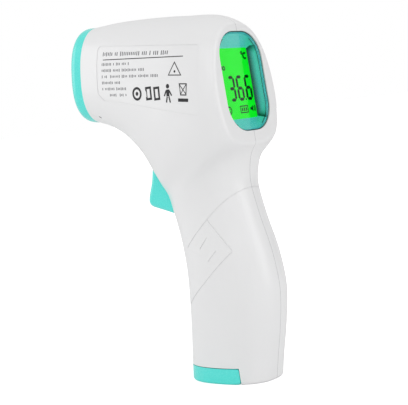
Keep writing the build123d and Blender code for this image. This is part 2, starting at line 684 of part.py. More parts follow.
KEY_SEAT_Y = KEY_BOARD_Y + KEY_BOARD_THICK
for key, (x, face_y) in KEYS.items():
    push_switch(key, across(x, KEY_Z, KEY_SEAT_Y), KEY_TIP)
    with BuildPart() as button:
        with BuildSketch(across(x, KEY_Z, face_y - 4.6)):
            Circle(KEY_R)
        extrude(amount=4.6)
        fillet(button.faces().sort_by(Axis.Y)[-1].edges(), 0.6)
        with BuildSketch(across(x, KEY_Z, face_y - 4.9)):
            Circle(KEY_R + 1.2)
        extrude(amount=0.9)
        with BuildSketch(across(x, KEY_Z, KEY_SEAT_Y + KEY_TIP)):
            Circle(PLUNGER_R)
        extrude(amount=face_y - 4.6 - KEY_SEAT_Y - KEY_TIP)
    save(button.part, f"{key}_button")

# ---------------------------------------------------------------- battery bay
CELL_NUB_R, CELL_NUB = 1.9, 0.8
SPRING_STEP_IN, SPRING_STEP_UP, COIL_WIRE_R, COIL_R = 0.3, 0.6, 0.35, 3.6


def bay_plane(across_x, up, flip=False):
    """A plane square to the cells, at a place in the battery bay."""
    return Plane(
        origin=BAY.from_local_coords((across_x, 0, up)),
        x_dir=BAY.x_dir,
        z_dir=-BAY.z_dir if flip else BAY.z_dir,
    )


with BuildPart() as door_hollow:
    add(half_body(WALL))
    split(bisect_by=Plane.XY.offset(FLOOR), keep=Keep.TOP)

with BuildPart() as battery_door:
    add(outer_half.part)
    with Locations((DOOR_END - 40, 15, DOOR_TOP / 2)):
        Box(80, 40, DOOR_TOP, mode=Mode.INTERSECT)
    add(door_hollow.part, mode=Mode.SUBTRACT)
    # knuckle between the case lugs, and room for a lug beside it
    with BuildSketch(across(HINGE_X, HINGE_Z)):
        Circle(HINGE_R)
    extrude(amount=LUG_IN - 0.2)
    with Locations((HINGE_X, (LUG_IN + LUG_OUT) / 2, HINGE_Z)):
        Box(2 * HINGE_R + 1.2, LUG_OUT - LUG_IN + 0.4, 2 * HINGE_R + 1.0, mode=Mode.SUBTRACT)
    # the back edge is round about the pin, and its upper corner is eased
    with BuildSketch(Plane.XZ):
        with Locations((HINGE_X + 1.5, HINGE_Z - 1.5)):
            Rectangle(3, 3)
        with Locations((HINGE_X, HINGE_Z)):
            Circle(HINGE_R, mode=Mode.SUBTRACT)
    extrude(amount=-30, mode=Mode.SUBTRACT)
    with BuildSketch(Plane.XZ):
        with Locations((DOOR_END, DOOR_TOP)):
            Rectangle(2 * DOOR_CORNER, 2 * DOOR_CORNER)
        with Locations((DOOR_END - DOOR_CORNER, DOOR_TOP - DOOR_CORNER)):
            Circle(DOOR_CORNER, mode=Mode.SUBTRACT)
    extrude(amount=-30, mode=Mode.SUBTRACT)
    with BuildSketch(across(HINGE_X, HINGE_Z)):
        Circle(HINGE_PIN_R + RUN_FIT)
    extrude(amount=LUG_IN, mode=Mode.SUBTRACT)
    mirror(about=Plane.XZ)
save(battery_door.part, "battery_door")

with BuildPart() as door_pin:
    with BuildSketch(across(HINGE_X, HINGE_Z, 0.1 - LUG_OUT)):
        Circle(HINGE_PIN_R)
    extrude(amount=2 * LUG_OUT - 0.2)
save(door_pin.part, "door_pin")

with BuildPart() as battery_cradle:
    with BuildSketch(BAY.offset(CRADLE_LOW)):
        SlotCenterToCenter(CELL_PITCH, 2 * CRADLE_R)
    extrude(amount=CRADLE_TOP - CRADLE_LOW)
    with BuildSketch(BAY.offset(CRADLE_FLANGE)):
        Rectangle(CELL_PITCH, 2 * CRADLE_R + 4)
    extrude(amount=COLLAR_THICK)
    with BuildSketch(BAY.offset(CRADLE_LOW)):
        SlotCenterToCenter(CELL_PITCH, 2 * CELL_R + 0.6)
    extrude(amount=CONTACT_UNDER + CONTACT_THICK - CRADLE_LOW, mode=Mode.SUBTRACT)
    with BuildSketch(BAY):
        Circle(1.6)
    extrude(amount=60, mode=Mode.SUBTRACT)
save(battery_cradle.part, "battery_cradle")

for name, side, nub_up in (("battery_front", -1, True), ("battery_rear", 1, False)):
    with BuildPart() as cell:
        with BuildSketch(bay_plane(side * CELL_PITCH / 2, 0 if nub_up else CELL_NUB)):
            Circle(CELL_R)
        extrude(amount=CELL_LENGTH - CELL_NUB)
        fillet(cell.edges(), 0.5)
        with BuildSketch(bay_plane(side * CELL_PITCH / 2, CELL_LENGTH - CELL_NUB if nub_up else 0)):
            Circle(CELL_NUB_R)
        extrude(amount=CELL_NUB)
    save(cell.part, name)

with BuildPart() as battery_top_contacts:
    for side in (-1, 1):
        with BuildSketch(bay_plane(side * CELL_PITCH / 2, CONTACT_UNDER)):
            Rectangle(8, 7)
        extrude(amount=CONTACT_THICK)
    with BuildSketch(bay_plane(-CELL_PITCH / 2, CELL_LENGTH + 0.1)):
        Circle(1.8)
    extrude(amount=CONTACT_UNDER - CELL_LENGTH)
    for turn in range(3):
        level = CONTACT_UNDER + 0.05 - COIL_WIRE_R - turn * SPRING_STEP_UP
        with Locations(bay_plane(CELL_PITCH / 2, level)):
            Torus(COIL_R - turn * SPRING_STEP_IN, COIL_WIRE_R)
save(battery_top_contacts.part, "battery_top_contacts")

CONTACT_STRIP_W, CONTACT_STRIP_D = 20.0, 8.4
with BuildPart() as door_contact:
    with Locations((BAY_X - 0.4, 0, FLOOR + CONTACT_THICK / 2)):
        Box(CONTACT_STRIP_W, CONTACT_STRIP_D, CONTACT_THICK)
    for side, turns in ((-1, 5), (1, 4)):
        foot = BAY.from_local_coords((side * CELL_PITCH / 2, 0, 0)).X
        for turn in range(turns):
            level = FLOOR + CONTACT_THICK - 0.05 + COIL_WIRE_R + turn * SPRING_STEP_UP
            with Locations((foot, 0, level)):
                Torus(COIL_R - turn * SPRING_STEP_IN, COIL_WIRE_R)
save(door_contact.part, "door_contact")

# ---------------------------------------------------------------- screws and wires
with BuildPart() as case_screws:
    for x, z in CASE_SCREWS:
        with BuildSketch(across(x, z, SCREW_SEAT)):
            Circle(SCREW_HEAD_R)
        extrude(amount=1.9)
        with BuildSketch(across(x, z, SCREW_SEAT + 1.9)):
            Rectangle(3.4, 0.6)
            Rectangle(0.6, 3.4)
        extrude(amount=-1.1, mode=Mode.SUBTRACT)
        with BuildSketch(across(x, z, SCREW_END)):
            Circle(SCREW_R)
        extrude(amount=SCREW_SEAT - SCREW_END)
save(case_screws.part, "case_screws")

WIRE_R, WIRE_BEND = 0.55, 3.0


def wires(name, routes):
    """Insulated wires along runs joined by round bends."""
    with BuildPart() as loom:
        for route in routes:
            with BuildLine():
                run = FilletPolyline(*route, radius=WIRE_BEND)
            with BuildSketch(Plane(origin=run @ 0, z_dir=run % 0)):
                Circle(WIRE_R)
            sweep()
    save(loom.part, name)


def on_board_back(u, v):
    """A point just clear of the back of the main board."""
    return depth(BOARD_BACK + 0.6).from_local_coords((u, v, 0))


SENSOR_END = NOSE.from_local_coords((0, -7, SENSOR_BOARD_BACK - 0.02))
wires("sensor_wires", [
    ((SENSOR_END.X, y, SENSOR_END.Z), (-34, y, SENSOR_END.Z - 0.6), (-20, y, 131), (-4, y, 134),
     on_board_back(y, 9.0))
    for y in (-3.0, -1.4)
])
ROOF = BAY.from_local_coords((0, 0, CRADLE_TOP + 0.02))
wires("battery_wires", [
    ((ROOF.X, y, ROOF.Z), (ROOF.X + 0.4, y, ROOF.Z + 8), (-4, y, 78), (-3, y, 98),
     on_board_back(y, -19.8))
    for y in (-0.8, 0.8)
])
wires("trigger_wires", [
    ((TRIGGER_BOARD_FRONT + TRIGGER_BOARD_THICK + 0.02, y, 86), (-9, y, 86), (-7.5, y, 102),
     on_board_back(y, -19.0))
    for y in (-5.4, -4.0)
])
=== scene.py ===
import math

import bmesh
import bpy
from mathutils import Matrix, Vector
from mathutils.bvhtree import BVHTree


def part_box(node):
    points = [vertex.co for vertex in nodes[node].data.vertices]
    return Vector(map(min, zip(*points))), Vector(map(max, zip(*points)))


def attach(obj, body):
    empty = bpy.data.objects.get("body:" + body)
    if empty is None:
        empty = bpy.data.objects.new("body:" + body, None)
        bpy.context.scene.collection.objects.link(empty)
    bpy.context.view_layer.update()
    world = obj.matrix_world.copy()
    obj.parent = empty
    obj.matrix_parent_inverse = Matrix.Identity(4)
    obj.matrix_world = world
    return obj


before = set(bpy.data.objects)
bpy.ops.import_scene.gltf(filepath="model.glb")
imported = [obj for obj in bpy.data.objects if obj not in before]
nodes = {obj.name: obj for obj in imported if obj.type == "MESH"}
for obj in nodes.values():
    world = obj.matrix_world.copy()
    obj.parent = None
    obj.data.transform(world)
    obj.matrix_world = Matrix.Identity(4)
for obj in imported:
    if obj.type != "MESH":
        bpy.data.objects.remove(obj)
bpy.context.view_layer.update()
MM = 0.001

# ------------------------------------------------------------------ case halves
# The two halves are injection moulded in a light grey-white ABS with a fine satin
# texture. They meet on a split line down the middle and are screwed from the right.


def shader(material):
    return next(n for n in material.node_tree.nodes if n.type == "BSDF_PRINCIPLED")


def new_material(name, roughness, coat=0.0, coat_roughness=0.1, metallic=0.0):
    material = bpy.data.materials.new(name)
    material.use_nodes = True
    principled = shader(material)
    principled.inputs["Roughness"].default_value = roughness
    principled.inputs["Metallic"].default_value = metallic
    principled.inputs["Coat Weight"].default_value = coat
    principled.inputs["Coat Roughness"].default_value = coat_roughness
    return material


def grain_group():
    """Moulded surface: slow colour drift, fine roughness change and a grain height."""
    group = bpy.data.node_groups.new("moulded_grain", "ShaderNodeTree")
    face = group.interface
    face.new_socket("Base", in_out="INPUT", socket_type="NodeSocketColor")
    face.new_socket("Drift", in_out="INPUT", socket_type="NodeSocketFloat")
    face.new_socket("Grain size", in_out="INPUT", socket_type="NodeSocketFloat")
    face.new_socket("Rough low", in_out="INPUT", socket_type="NodeSocketFloat")
    face.new_socket("Rough high", in_out="INPUT", socket_type="NodeSocketFloat")
    face.new_socket("Colour", in_out="OUTPUT", socket_type="NodeSocketColor")
    face.new_socket("Roughness", in_out="OUTPUT", socket_type="NodeSocketFloat")
    face.new_socket("Height", in_out="OUTPUT", socket_type="NodeSocketFloat")
    node, link = group.nodes.new, group.links.new
    given, result = node("NodeGroupInput"), node("NodeGroupOutput")
    place = node("ShaderNodeTexCoord")
    slow, fine = node("ShaderNodeTexNoise"), node("ShaderNodeTexNoise")
    slow.inputs["Scale"].default_value = 28.0
    fine.inputs["Detail"].default_value = 3.0
    link(place.outputs["Object"], slow.inputs["Vector"])
    link(place.outputs["Object"], fine.inputs["Vector"])
    link(given.outputs["Grain size"], fine.inputs["Scale"])
    drift = node("ShaderNodeMath")
    drift.operation = "MULTIPLY_ADD"
    link(slow.outputs["Fac"], drift.inputs[0])
    link(given.outputs["Drift"], drift.inputs[1])
    drift.inputs[2].default_value = 1.0
    shade = node("ShaderNodeVectorMath")
    shade.operation = "SCALE"
    link(given.outputs["Base"], shade.inputs[0])
    link(drift.outputs[0], shade.inputs["Scale"])
    link(shade.outputs["Vector"], result.inputs["Colour"])
    rough = node("ShaderNodeMapRange")
    link(fine.outputs["Fac"], rough.inputs["Value"])
    link(given.outputs["Rough low"], rough.inputs["To Min"])
    link(given.outputs["Rough high"], rough.inputs["To Max"])
    link(rough.outputs["Result"], result.inputs["Roughness"])
    link(fine.outputs["Fac"], result.inputs["Height"])
    return group


GRAIN = grain_group()


def moulded(name, colour, rough, grain_scale, bump, drift=0.03, coat=0.0, coat_roughness=0.1):
    """A moulded plastic: rough is its (smoothest, roughest), bump the grain's strength."""
    material = new_material(name, rough[0], coat, coat_roughness)
    tree = material.node_tree
    grain = tree.nodes.new("ShaderNodeGroup")
    grain.node_tree = GRAIN
    grain.inputs["Base"].default_value = (*colour, 1)
    grain.inputs["Drift"].default_value = drift
    grain.inputs["Grain size"].default_value = grain_scale
    grain.inputs["Rough low"].default_value = rough[0]
    grain.inputs["Rough high"].default_value = rough[1]
    principled = shader(material)
    tree.links.new(grain.outputs["Colour"], principled.inputs["Base Color"])
    tree.links.new(grain.outputs["Roughness"], principled.inputs["Roughness"])
    relief = tree.nodes.new("ShaderNodeBump")
    relief.inputs["Strength"].default_value = bump
    relief.inputs["Distance"].default_value = 0.02 * MM
    tree.links.new(grain.outputs["Height"], relief.inputs["Height"])
    tree.links.new(relief.outputs["Normal"], principled.inputs["Normal"])
    return material


def dress(name, material):
    """Gives a CAD node its material."""
    thing = nodes[name]
    thing.data.materials.clear()
    thing.data.materials.append(material)


case_plastic = moulded("case_white", (0.80, 0.80, 0.805), (0.30, 0.40), 4200.0, 0.25, coat=0.25,
                       coat_roughness=0.22)


def along_axis(tree, axis):
    """The surface's own X, Y or Z, in metres."""
    place, parts = tree.nodes.new("ShaderNodeTexCoord"), tree.nodes.new("ShaderNodeSeparateXYZ")
    tree.links.new(place.outputs["Object"], parts.inputs["Vector"])
    return parts.outputs[axis]


def worked_out(tree, operation, *values):
    """The result of a sum on numbers and sockets."""
    node = tree.nodes.new("ShaderNodeMath")
    node.operation = operation
    for entry, value in zip(node.inputs, values):
        if isinstance(value, float):
            entry.default_value = value
        else:
            tree.links.new(value, entry)
    return node.outputs[0]


def tint_where(material, mask, shade):
    """Lays a shade over the material's colour where the mask is 1."""
    tree = material.node_tree
    base = shader(material).inputs["Base Color"]
    tint = tree.nodes.new("ShaderNodeMixRGB")
    tint.inputs["Color2"].default_value = (*shade, 1)
    tree.links.new(mask, tint.inputs["Fac"])
    tree.links.new(base.links[0].from_socket, tint.inputs["Color1"])
    tree.links.new(tint.outputs["Color"], base)
    return tint.outputs["Color"]


def parting_line(material, half_width, shade):
    """Darkens a hair line where the two halves meet on the middle plane."""
    tree = material.node_tree
    from_middle = worked_out(tree, "ABSOLUTE", along_axis(tree, "Y"))
    tint_where(material, worked_out(tree, "LESS_THAN", from_middle, half_width), shade)


parting_line(case_plastic, 0.09 * MM, (0.42, 0.42, 0.43))
for half in ("left_shell", "right_shell"):
    dress(half, case_plastic)

# ------------------------------------------------------------------ turquoise pieces
# Nose cap, display bezel, trigger, battery door and side keys are moulded in the
# same turquoise ABS, polished to a soft gloss.
teal_plastic = moulded("teal_plastic", (0.085, 0.77, 0.70), (0.22, 0.32), 3000.0, 0.15, coat=0.35,
                       coat_roughness=0.12)
for name in ("nose_cap", "trigger", "battery_door", "mode_button", "set_button"):
    dress(name, teal_plastic)


# Painted shade: the funnel's side walls are darkened in colour where the recess falls into shadow.
WALL_FOOT, WALL_TOP, WALL_SPARE = 11.6 * MM, 13.2 * MM, 0.15 * MM
WALL_MIDDLE, WALL_HALF_TALL = 123.8 * MM, 15.2 * MM
WALL_PAINTED_SHADE = (0.006, 0.085, 0.095)


def paint_wall_shade(material):
    """Paints shade on the funnel's steep side walls where they meet the panel, and gives the glow the same
    painted shade.
    """
    tree = material.node_tree
    from_middle = worked_out(tree, "ABSOLUTE", along_axis(tree, "Y"))
    rise = worked_out(tree, "SUBTRACT", along_axis(tree, "Z"), WALL_MIDDLE)
    beside = worked_out(tree, "GREATER_THAN", from_middle, WALL_FOOT - WALL_SPARE)
    level = worked_out(tree, "COMPARE", rise, 0.0, WALL_HALF_TALL)
    fade = tree.nodes.new("ShaderNodeMapRange")
    fade.interpolation_type = "SMOOTHSTEP"
    fade.inputs["From Min"].default_value = WALL_TOP
    fade.inputs["From Max"].default_value = WALL_FOOT
    tree.links.new(from_middle, fade.inputs["Value"])
    side_walls = worked_out(tree, "MULTIPLY", beside, level)
    mask = worked_out(tree, "MULTIPLY", fade.outputs["Result"], side_walls)
    painted_shade_colour = tint_where(material, mask, WALL_PAINTED_SHADE)
    tree.links.new(painted_shade_colour, shader(material).inputs["Emission Color"])


# The bezel is given a weak painted glow that stands in for light filling the funnel from the lit panel next to
# it.
bezel_plastic = moulded("bezel_teal", (0.12, 0.80, 0.80), (0.22, 0.32), 3000.0, 0.15, coat=0.2)
paint_wall_shade(bezel_plastic)
shader(bezel_plastic).inputs["Emission Strength"].default_value = 0.14
dress("display_bezel", bezel_plastic)

# ------------------------------------------------------------------ display
# A clear acrylic window lies just under the rim. Behind it a green backlit liquid
# crystal panel sits at the bottom of the bezel's funnel.


def uneven(material, socket, low, high, size):
    """Drives one socket with a slow noise between two values."""
    tree = material.node_tree
    place = tree.nodes.new("ShaderNodeTexCoord")
    noise = tree.nodes.new("ShaderNodeTexNoise")
    noise.inputs["Scale"].default_value = size
    tree.links.new(place.outputs["Object"], noise.inputs["Vector"])
    if isinstance(low, tuple):
        mix = tree.nodes.new("ShaderNodeMix")
        mix.data_type = "RGBA"
        for entry in mix.inputs:
            if entry.type == "RGBA" and entry.name == "A":
                entry.default_value = (*low, 1)
            if entry.type == "RGBA" and entry.name == "B":
                entry.default_value = (*high, 1)
        tree.links.new(noise.outputs["Fac"], mix.inputs["Factor"])
        tree.links.new(next(o for o in mix.outputs if o.type == "RGBA"), shader(material).inputs[socket])
    else:
        span = tree.nodes.new("ShaderNodeMapRange")
        span.inputs["To Min"].default_value = low
        span.inputs["To Max"].default_value = high
        tree.links.new(noise.outputs["Fac"], span.inputs["Value"])
        tree.links.new(span.outputs["Result"], shader(material).inputs[socket])


clear = new_material("window_clear", 0.006)
shader(clear).inputs["Base Color"].default_value = (0.96, 1.0, 1.0, 1)
shader(clear).inputs["Transmission Weight"].default_value = 1.0
shader(clear).inputs["IOR"].default_value = 1.38
uneven(clear, "Roughness", 0.0, 0.012, 120.0)
dress("display_window", clear)

lit = new_material("lcd_green", 0.5)
shader(lit).inputs["Base Color"].default_value = (0.0, 0.5, 0.01, 1)
shader(lit).inputs["Specular IOR Level"].default_value = 0.15
shader(lit).inputs["Emission Strength"].default_value = 0.7
uneven(lit, "Emission Color", (0.0, 0.80, 0.004), (0.002, 0.95, 0.02), 60.0)
dress("lcd_panel", lit)

# ------------------------------------------------------------------ display figures
# The crystal's dark figures: a reading in seven-segment numbers, a unit mark, and a
# row of small signs for state, charge and sound. They lie on the panel's front.
TILT = math.radians(4.1)
PANEL_OUT = Vector((math.cos(TILT), 0, math.sin(TILT)))
PANEL_UP = Vector((-math.sin(TILT), 0, math.cos(TILT)))
PANEL_HALF_THICK, PANEL_MIDDLE_UP = 1.0 * MM, -1.1
panel_low, panel_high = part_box("lcd_panel")
panel_front = (Vector(panel_low) + Vector(panel_high)) / 2 + PANEL_OUT * PANEL_HALF_THICK


def on_panel(across, rise, lift):
    """A place on the panel's front, in mm from its middle line and the rim's middle."""
    return (panel_front + Vector((0, across, 0)) * MM + PANEL_UP * (rise - PANEL_MIDDLE_UP) * MM
            + PANEL_OUT * lift * MM)


def plate(work, outline, place, low, high):
    """A thin closed plate over a flat outline."""
    under = [work.verts.new(place(u, v, low)) for u, v in outline]
    over = [work.verts.new(place(u, v, high)) for u, v in outline]
    work.faces.new(over)
    work.faces.new(under[::-1])
    for i in range(len(outline)):
        j = (i + 1) % len(outline)
        work.faces.new((under[i], under[j], over[j], over[i]))


def ribbon(work, points, width, place, low, high, closed=False):
    """A thin closed strip of even width along a line of points."""
    path = [Vector(p) for p in points]
    count = len(path)
    rails = []
    for i, point in enumerate(path):
        before = path[i - 1] if i or closed else point
        after = path[(i + 1) % count] if i < count - 1 or closed else point
        along_in, along_out = (point - before).normalized(), (after - point).normalized()
        along = (along_in + along_out).normalized()
        side = Vector((-along.y, along.x))
        steady = max(0.5, side.dot(Vector((-along_out.y, along_out.x))) if along_out.length else 1.0)
        rails.append((point + side * width / 2 / steady, point - side * width / 2 / steady))
    ring = [[work.verts.new(place(q.x, q.y, h)) for q, h in
             ((left, high), (right_side, high), (right_side, low), (left, low))]
            for left, right_side in rails]
    for i in range(count if closed else count - 1):
        first, second = ring[i], ring[(i + 1) % count]
        for k in range(4):
            m = (k + 1) % 4
            work.faces.new((first[k], second[k], second[m], first[m]))
    if not closed:
        work.faces.new(ring[0])
        work.faces.new(ring[-1][::-1])


def arc(centre, radius, start, end, steps=16):
    """Points along a circle between two angles in degrees."""
    angles = [math.radians(start + (end - start) * i / steps) for i in range(steps + 1)]
    return [(centre[0] + radius * math.cos(a), centre[1] + radius * math.sin(a)) for a in angles]


def circle(centre, radius, steps=20):
    return arc(centre, radius, 0, 360, steps)[:-1]


def finish_piece(name, work, material, body):
    """Makes the mesh object, turns its faces outwards, gives it its material and attaches it to its body."""
    bmesh.ops.recalc_face_normals(work, faces=work.faces)
    mesh = bpy.data.meshes.new(name)
    work.to_mesh(mesh)
    work.free()
    mesh.materials.append(material)
    piece = bpy.data.objects.new(name, mesh)
    bpy.context.scene.collection.objects.link(piece)
    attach(piece, body)
    return piece


crystal = new_material("crystal_dark", 0.45)
uneven(crystal, "Base Color", (0.0, 0.012, 0.002), (0.0, 0.03, 0.006), 900.0)
shader(crystal).inputs["Specular IOR Level"].default_value = 0.1

SEGMENTS = {"3": "abgcd", "6": "afgecd"}
DIGIT_WIDE, DIGIT_TOP, DIGIT_LOW, STROKE, TIP_GAP = 3.3, 2.3, -7.0, 1.3, 0.12
READING = (("3", -3.0), ("6", 2.65), ("6", 8.45))
POINT_AT = (5.55, -7.1)
INK_LOW, INK_HIGH = 0.01, 0.05


def segment(work, start, end):
    """One stroke of a figure, pointed at both ends."""
    a, b = Vector(start), Vector(end)
    along = (b - a).normalized()
    side = Vector((-along.y, along.x)) * STROKE / 2
    tip = along * STROKE / 2
    inset = along * TIP_GAP
    a, b = a + inset, b - inset
    plate(work, [tuple(q) for q in (a, a + tip + side, b - tip + side, b, b - tip - side, a + tip - side)],
          on_panel, INK_LOW, INK_HIGH)


figures = bmesh.new()
for figure, middle in READING:
    left, right_edge = middle - DIGIT_WIDE / 2, middle + DIGIT_WIDE / 2
    half_up = (DIGIT_TOP + DIGIT_LOW) / 2
    ends = {
        "a": ((left, DIGIT_TOP), (right_edge, DIGIT_TOP)),
        "b": ((right_edge, DIGIT_TOP), (right_edge, half_up)),
        "c": ((right_edge, half_up), (right_edge, DIGIT_LOW)),
        "d": ((left, DIGIT_LOW), (right_edge, DIGIT_LOW)),
        "e": ((left, half_up), (left, DIGIT_LOW)),
        "f": ((left, DIGIT_TOP), (left, half_up)),
        "g": ((left, half_up), (right_edge, half_up)),
    }
    for letter in SEGMENTS[figure]:
        segment(figures, *ends[letter])
plate(figures, circle(POINT_AT, 0.45, 12), on_panel, INK_LOW, INK_HIGH)
finish_piece("display_reading", figures, crystal, "root")

signs = bmesh.new()


def sign_line(points, width, closed=False):
    ribbon(signs, points, width, on_panel, INK_LOW, INK_HIGH, closed)


def sign_patch(outline):
    plate(signs, outline, on_panel, INK_LOW, INK_HIGH)


def box(middle, half_wide, half_tall):
    """The four corners of an upright rectangle."""
    u, v = middle
    return [(u - half_wide, v - half_tall), (u + half_wide, v - half_tall), (u + half_wide, v + half_tall),
            (u - half_wide, v + half_tall)]


# the unit mark
sign_line(circle((7.5, 12.2), 0.5, 12), 0.5, closed=True)
sign_line(arc((9.6, 11.0), 1.15, 50, 310, 14), 0.75)
# the charge sign: a frame with three bars
ROW, BATTERY_MID, BAR_STEP = -11.2, 3.0, 1.45
sign_line(box((BATTERY_MID, ROW), 2.6, 1.35), 0.45, closed=True)
for step in (-BAR_STEP, 0.0, BAR_STEP):
    sign_patch(box((BATTERY_MID + step, ROW), 0.4, 0.75))
# the sound sign: a horn and two waves
HORN = ((7.4, -0.5), (8.2, -0.5), (9.3, -1.35), (9.3, 1.35), (8.2, 0.5), (7.4, 0.5))
WAVE_MIDDLE, WAVE_HALF_ANGLE = (9.1, ROW), 48
sign_patch([(across, ROW + rise) for across, rise in HORN])
for radius, steps in ((1.05, 6), (1.75, 8)):
    sign_line(arc(WAVE_MIDDLE, radius, -WAVE_HALF_ANGLE, WAVE_HALF_ANGLE, steps), 0.4)
# the state sign: a plain round face
FACE_MID = -7.4
sign_line(circle((FACE_MID, ROW), 1.5), 0.5, closed=True)
sign_line(arc((FACE_MID, ROW), 0.7, 200, 340, 6), 0.3)
for eye in (-0.5, 0.5):
    sign_patch(circle((FACE_MID + eye, ROW + 0.45), 0.22, 8))
# the mode sign: a block and a ring
sign_patch(box((-8.35, 6.2), 0.65, 0.9))
sign_line(circle((-6.5, 6.2), 0.7, 12), 0.55, closed=True)
finish_piece("display_signs", signs, crystal, "root")

# ------------------------------------------------------------------ painted window shadows
# A dark painted shadow ring fills the gap round the window, and shows again as a painted
# shadow line under each long side, where the funnel's edge carries the window.
GAP_SHADOW_FRAME = (14.55, 20.25, 11.25)     # half width, half height and corner radius
LEDGE_INSET = 1.0
GAP_SHADOW_LIFT, LEDGE_LIFT, SHADOW_LINE_THICK = 5.1, 3.76, 0.04
GAP_SHADOW_WIDTH, LEDGE_WIDTH = 0.4, 0.3


def rounded_corner(frame_size, across, rise, start, end):
    """One corner of a rounded frame, on the side that across and rise (1 or -1) give."""
    half_wide, half_tall, radius = frame_size
    return arc((across * (half_wide - radius), rise * (half_tall - radius)), radius, start, end, 12)


gap_shadow = bmesh.new()
outline = [q for across, rise, start in ((1, 1, 0), (-1, 1, 90), (-1, -1, 180), (1, -1, 270))
           for q in rounded_corner(GAP_SHADOW_FRAME, across, rise, start, start + 90)]
ribbon(gap_shadow, outline, GAP_SHADOW_WIDTH, on_panel, GAP_SHADOW_LIFT, GAP_SHADOW_LIFT + SHADOW_LINE_THICK, closed=True)
ledge_frame = tuple(measure - LEDGE_INSET for measure in GAP_SHADOW_FRAME)
for side, top_angles, low_angles in ((1, (55, 0), (360, 300)), (-1, (125, 180), (180, 240))):
    ledge = (rounded_corner(ledge_frame, side, 1, *top_angles)
             + rounded_corner(ledge_frame, side, -1, *low_angles))
    ribbon(gap_shadow, ledge, LEDGE_WIDTH, on_panel, LEDGE_LIFT, LEDGE_LIFT + SHADOW_LINE_THICK)
# Painted shade: a dark moulded finish for the window's shadow ring and lines.
gap_shadow_paint = moulded("window_gap_shadow", (0.008, 0.07, 0.07), (0.4, 0.5), 2500.0, 0.1, drift=0.2)
finish_piece("window_gap_shadow", gap_shadow, gap_shadow_paint, "root")

# ------------------------------------------------------------------ rating plate print
# Dark pad-printed marks in the shallow field on the left half. The lines stand in for
# wording and say nothing: rows of small blocks, with plain signs under them.
ink = moulded("plate_ink", (0.10, 0.10, 0.11), (0.55, 0.7), 3000.0, 0.1, drift=0.25)
dark_ink = moulded("plate_dark_ink", (0.016, 0.016, 0.018), (0.6, 0.75), 3000.0, 0.1, drift=0.25)
left_side = nodes["left_shell"]
skin = BVHTree.FromPolygons([v.co.copy() for v in left_side.data.vertices],
                            [tuple(f.vertices) for f in left_side.data.polygons])
OUTSIDE = -60.0


def on_side(x, z, lift):
    """A place on the left half's skin, in mm, lifted along -Y."""
    hit = skin.ray_cast(Vector((x, OUTSIDE, z)) * MM, Vector((0, 1, 0)))[0]
    return Vector((x * MM, hit.y - lift * MM, z * MM))


def word_line_tree():
    """A row of small blocks of uneven height, with gaps between words."""
    tree = bpy.data.node_groups.new("word_line", "GeometryNodeTree")
    face = tree.interface
    face.new_socket("Geometry", in_out="INPUT", socket_type="NodeSocketGeometry")
    names = {"Length": "Float", "Pitch": "Float", "Mark width": "Float", "Mark height": "Float",
             "Depth": "Float", "Gap share": "Float", "Seed": "Int", "Ink": "Material"}
    keys = {n: face.new_socket(n, in_out="INPUT", socket_type="NodeSocket" + k).identifier
            for n, k in names.items()}
    face.new_socket("Geometry", in_out="OUTPUT", socket_type="NodeSocketGeometry")
    node, link = tree.nodes.new, tree.links.new
    given, result = node("NodeGroupInput"), node("NodeGroupOutput")
    count = node("ShaderNodeMath")
    count.operation = "DIVIDE"
    link(given.outputs["Length"], count.inputs[0])
    link(given.outputs["Pitch"], count.inputs[1])
    step = node("ShaderNodeCombineXYZ")
    link(given.outputs["Pitch"], step.inputs["X"])
    line = node("GeometryNodeMeshLine")
    link(count.outputs[0], line.inputs["Count"])
    link(step.outputs[0], line.inputs["Offset"])
    gap = node("FunctionNodeRandomValue")
    gap.data_type = "BOOLEAN"
    link(given.outputs["Gap share"], gap.inputs["Probability"])
    link(given.outputs["Seed"], gap.inputs["Seed"])
    drop = node("GeometryNodeDeleteGeometry")
    link(line.outputs["Mesh"], drop.inputs["Geometry"])
    link(gap.outputs[3], drop.inputs["Selection"])
    size = node("ShaderNodeCombineXYZ")
    link(given.outputs["Mark width"], size.inputs["X"])
    link(given.outputs["Mark height"], size.inputs["Y"])
    link(given.outputs["Depth"], size.inputs["Z"])
    block = node("GeometryNodeMeshCube")
    link(size.outputs[0], block.inputs["Size"])
    tall = node("FunctionNodeRandomValue")
    tall.inputs[2].default_value, tall.inputs[3].default_value = 0.62, 1.0
    link(given.outputs["Seed"], tall.inputs["Seed"])
    shape = node("ShaderNodeCombineXYZ")
    shape.inputs["X"].default_value, shape.inputs["Z"].default_value = 1.0, 1.0
    link(tall.outputs[1], shape.inputs["Y"])
    copies = node("GeometryNodeInstanceOnPoints")
    link(drop.outputs["Geometry"], copies.inputs["Points"])
    link(block.outputs["Mesh"], copies.inputs["Instance"])
    link(shape.outputs[0], copies.inputs["Scale"])
    real, paint = node("GeometryNodeRealizeInstances"), node("GeometryNodeSetMaterial")
    link(copies.outputs["Instances"], real.inputs["Geometry"])
    link(real.outputs["Geometry"], paint.inputs["Geometry"])
    link(given.outputs["Ink"], paint.inputs["Material"])
    link(paint.outputs["Geometry"], result.inputs["Geometry"])
    return tree, keys


WORD_LINE, LINE_KEYS = word_line_tree()
PRINT_DEEP, MARK_SHARE, GAP_SHARE = 0.05, 0.46, 0.14


